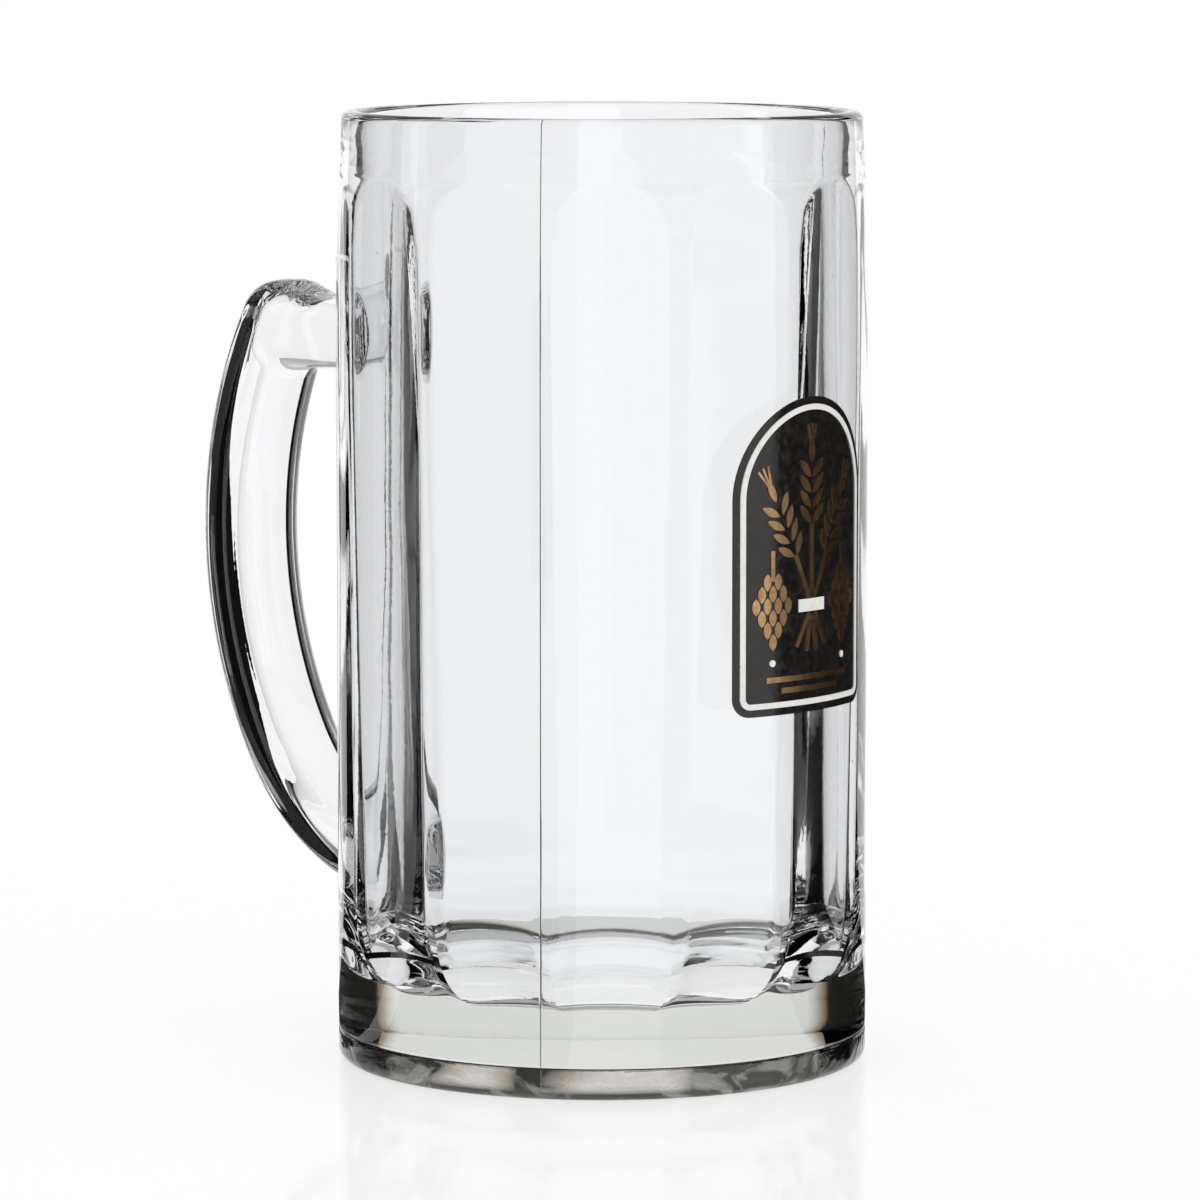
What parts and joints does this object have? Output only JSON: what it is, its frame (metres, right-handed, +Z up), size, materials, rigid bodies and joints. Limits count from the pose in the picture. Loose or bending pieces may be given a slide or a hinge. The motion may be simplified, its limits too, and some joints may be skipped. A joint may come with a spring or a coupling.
{
  "type": "beer mug",
  "caption": "Clear pressed-glass beer mug with a panelled inside, thick base, bow handle with a thumb rest and a fired black, gold and white print.",
  "frame": {"origin": "on the axis of the body, in the plane that the foot stands on", "axes": "+Z up along the axis of the body, +X from the axis towards the handle"},
  "size_m": [0.1309, 0.086, 0.154],
  "materials": {
    "clear_glass": "gloss",
    "black_enamel": "gloss",
    "fired_gold": "satin",
    "white_enamel": "gloss"
  },
  "bodies": {
    "root": {"glass_body": "clear_glass", "handle": "clear_glass", "print_black": "black_enamel", "print_gold": "fired_gold", "print_white": "white_enamel", "fill_line": "white_enamel"}
  },
  "joints": []
}
